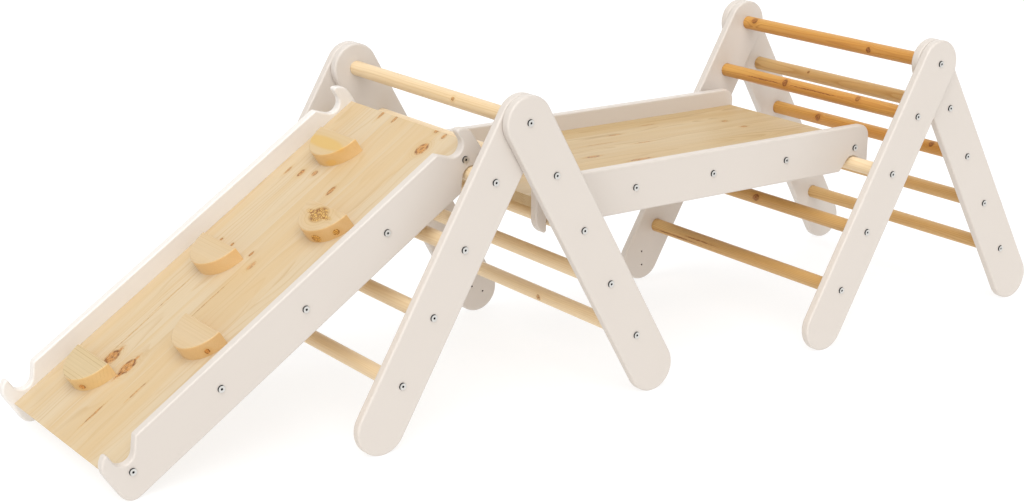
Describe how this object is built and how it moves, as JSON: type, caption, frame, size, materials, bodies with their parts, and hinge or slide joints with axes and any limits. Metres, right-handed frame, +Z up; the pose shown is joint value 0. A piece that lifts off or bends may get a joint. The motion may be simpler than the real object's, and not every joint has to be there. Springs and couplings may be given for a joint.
{
  "type": "toddler slide",
  "caption": "Toddler slide with half-disc holds hooked on a folding climbing frame, joined by a level bridge ramp to a second folding frame, in white boards and natural pine.",
  "frame": {"origin": "middle of the set's footprint on the floor", "axes": "+Z up, +X from the slide's foot along the set to the far frame, near side faces -Y"},
  "size_m": [2.0757, 0.6234, 0.587],
  "materials": {
    "white_paint": "warm white satin paint on rounded boards",
    "deck_pine": "clear lacquered edge-glued pine panel with knots",
    "hold_pine": "clear lacquered pine",
    "rung_pine_a": "smooth pale pine dowel",
    "rung_pine_b": "smooth orange pine dowel",
    "bolt_steel": "zinc-plated hex-socket bolt",
    "plated_nut": "zinc-plated insert nut",
    "screw_steel": "zinc-plated wood screw"
  },
  "bodies": {
    "standing_ladders": {"a_pivot_bolts": "bolt_steel", "a_pivot_insert_nuts": "plated_nut", "a_right_bolts": "bolt_steel", "a_right_far_board": "white_paint", "a_right_insert_nuts": "plated_nut", "a_right_near_board": "white_paint", "a_right_rung_1": "rung_pine_a", "a_right_rung_2": "rung_pine_a", "a_right_rung_3": "rung_pine_a", "a_right_rung_4": "rung_pine_a", "a_top_rung": "rung_pine_a", "b_left_bolts": "bolt_steel", "b_left_far_board": "white_paint", "b_left_insert_nuts": "plated_nut", "b_left_near_board": "white_paint", "b_left_rung_1": "rung_pine_b", "b_left_rung_2": "rung_pine_b", "b_left_rung_3": "rung_pine_b", "b_left_rung_4": "rung_pine_b", "b_pivot_bolts": "bolt_steel", "b_pivot_insert_nuts": "plated_nut", "b_top_rung": "rung_pine_b"},
    "frame_a_left_ladder": {"a_left_bolts": "bolt_steel", "a_left_far_board": "white_paint", "a_left_insert_nuts": "plated_nut", "a_left_near_board": "white_paint", "a_left_rung_1": "rung_pine_a", "a_left_rung_2": "rung_pine_a", "a_left_rung_3": "rung_pine_a", "a_left_rung_4": "rung_pine_a"},
    "slide_ramp": {"slide_bolts": "bolt_steel", "slide_deck": "deck_pine", "slide_far_rail": "white_paint", "slide_hold_1": "hold_pine", "slide_hold_2": "hold_pine", "slide_hold_3": "hold_pine", "slide_hold_4": "hold_pine", "slide_hold_5": "hold_pine", "slide_hold_screws": "screw_steel", "slide_insert_nuts": "plated_nut", "slide_near_rail": "white_paint"},
    "bridge_ramp": {"bridge_bolts": "bolt_steel", "bridge_deck": "deck_pine", "bridge_far_rail": "white_paint", "bridge_insert_nuts": "plated_nut", "bridge_near_rail": "white_paint"},
    "frame_b_right_ladder": {"b_right_bolts": "bolt_steel", "b_right_far_board": "white_paint", "b_right_insert_nuts": "plated_nut", "b_right_near_board": "white_paint", "b_right_rung_1": "rung_pine_b", "b_right_rung_2": "rung_pine_b", "b_right_rung_3": "rung_pine_b", "b_right_rung_4": "rung_pine_b"}
  },
  "joints": [
    {"name": "frame_a_fold", "type": "hinge", "parent": "standing_ladders", "child": "frame_a_left_ladder", "pos_m": [-0.28491, 0.00985, 0.54], "axis": [0, -1, 0], "range_deg": [0, 27]},
    {"name": "slide_tilt", "type": "hinge", "parent": "frame_a_left_ladder", "child": "slide_ramp", "pos_m": [-0.34242, 0.00985, 0.44041], "axis": [0, 1, 0], "range_deg": [0, 33.6]},
    {"name": "bridge_tilt", "type": "hinge", "parent": "standing_ladders", "child": "bridge_ramp", "pos_m": [-0.16492, 0.00985, 0.33215], "axis": [0, -1, 0], "range_deg": [0, 30]},
    {"name": "frame_b_fold", "type": "hinge", "parent": "standing_ladders", "child": "frame_b_right_ladder", "pos_m": [0.70608, -0.01015, 0.54], "axis": [0, 1, 0], "range_deg": [0, 27]}
  ]
}
